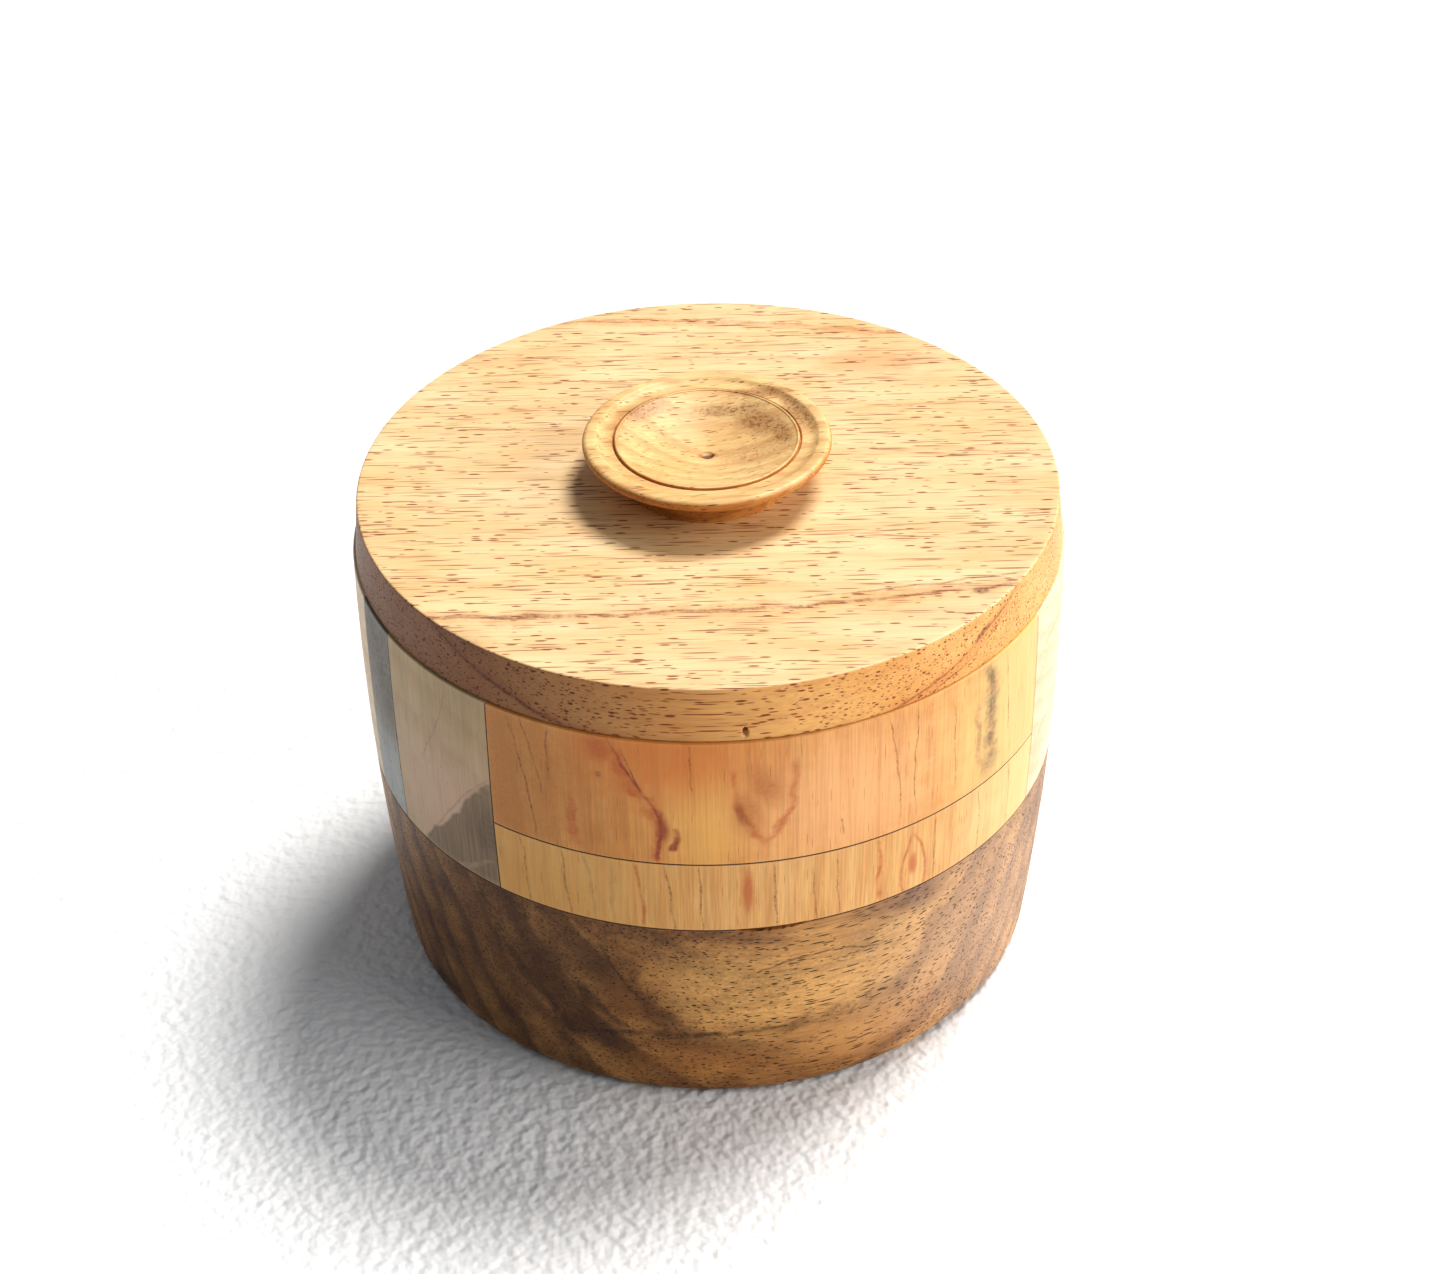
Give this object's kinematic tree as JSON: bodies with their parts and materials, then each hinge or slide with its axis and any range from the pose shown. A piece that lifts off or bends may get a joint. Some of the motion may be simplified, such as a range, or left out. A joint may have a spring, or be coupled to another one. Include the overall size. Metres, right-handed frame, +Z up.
{
  "type": "wooden spice box with katoris",
  "caption": "Round turned-wood spice box (masala dabba): a walnut and cherry body, a lift-off lid with a turned knob, steel katoris inside and a spoon across them.",
  "frame": {"origin": "centre of the foot ring's lower face, on the surface that the box stands on", "axes": "+Z up along the turned axis, -Y towards the front, +X to the right"},
  "size_m": [0.1234, 0.1234, 0.0986],
  "materials": {
    "walnut": "oiled and polished, striped grain",
    "cherry": "oiled and polished, dark gum lines",
    "maple": "oiled and polished",
    "grey_maple": "oiled and polished, grey spalted",
    "pale_ash": "oiled and polished",
    "lid_wood": "oiled and polished, open pores",
    "katori_steel": "spun steel, satin",
    "spoon_steel": "polished steel"
  },
  "bodies": {
    "box": {"base_bowl": "walnut", "front_upper_stave": "cherry", "front_lower_stave": "cherry", "left_maple_block": "maple", "left_grey_block": "grey_maple", "left_rear_block": "pale_ash", "rear_upper_stave": "cherry", "rear_lower_stave": "cherry", "right_block": "pale_ash"},
    "lid": {"lid_disc": "lid_wood", "lid_locating_ring": "lid_wood", "lid_knob": "lid_wood"},
    "katori_centre": {"katori_centre": "katori_steel"},
    "katori_1": {"katori_1": "katori_steel"},
    "katori_2": {"katori_2": "katori_steel"},
    "katori_3": {"katori_3": "katori_steel"},
    "katori_4": {"katori_4": "katori_steel"},
    "katori_5": {"katori_5": "katori_steel"},
    "katori_6": {"katori_6": "katori_steel"},
    "spoon": {"spice_spoon": "spoon_steel"}
  },
  "joints": [
    {"name": "lid_lift", "type": "slide", "parent": "box", "child": "lid", "axis": [0, 0, 1], "range_m": [0, 0.2]},
    {"name": "spoon_lift", "type": "slide", "parent": "box", "child": "spoon", "axis": [0, 0, 1], "range_m": [0, 0.13]},
    {"name": "katori_centre_lift", "type": "slide", "parent": "box", "child": "katori_centre", "axis": [0, 0, 1], "range_m": [0, 0.1]},
    {"name": "katori_1_lift", "type": "slide", "parent": "box", "child": "katori_1", "axis": [0, 0, 1], "range_m": [0, 0.084]},
    {"name": "katori_2_lift", "type": "slide", "parent": "box", "child": "katori_2", "axis": [0, 0, 1], "range_m": [0, 0.084]},
    {"name": "katori_3_lift", "type": "slide", "parent": "box", "child": "katori_3", "axis": [0, 0, 1], "range_m": [0, 0.084]},
    {"name": "katori_4_lift", "type": "slide", "parent": "box", "child": "katori_4", "axis": [0, 0, 1], "range_m": [0, 0.084]},
    {"name": "katori_5_lift", "type": "slide", "parent": "box", "child": "katori_5", "axis": [0, 0, 1], "range_m": [0, 0.084]},
    {"name": "katori_6_lift", "type": "slide", "parent": "box", "child": "katori_6", "axis": [0, 0, 1], "range_m": [0, 0.084]}
  ],
  "couplings": [
    {"joint": "spoon_lift", "follows": "lid_lift", "ratio": 0.65},
    {"joint": "katori_centre_lift", "follows": "lid_lift", "ratio": 0.5},
    {"joint": "katori_1_lift", "follows": "lid_lift", "ratio": 0.42},
    {"joint": "katori_2_lift", "follows": "lid_lift", "ratio": 0.42},
    {"joint": "katori_3_lift", "follows": "lid_lift", "ratio": 0.42},
    {"joint": "katori_4_lift", "follows": "lid_lift", "ratio": 0.42},
    {"joint": "katori_5_lift", "follows": "lid_lift", "ratio": 0.42},
    {"joint": "katori_6_lift", "follows": "lid_lift", "ratio": 0.42}
  ]
}
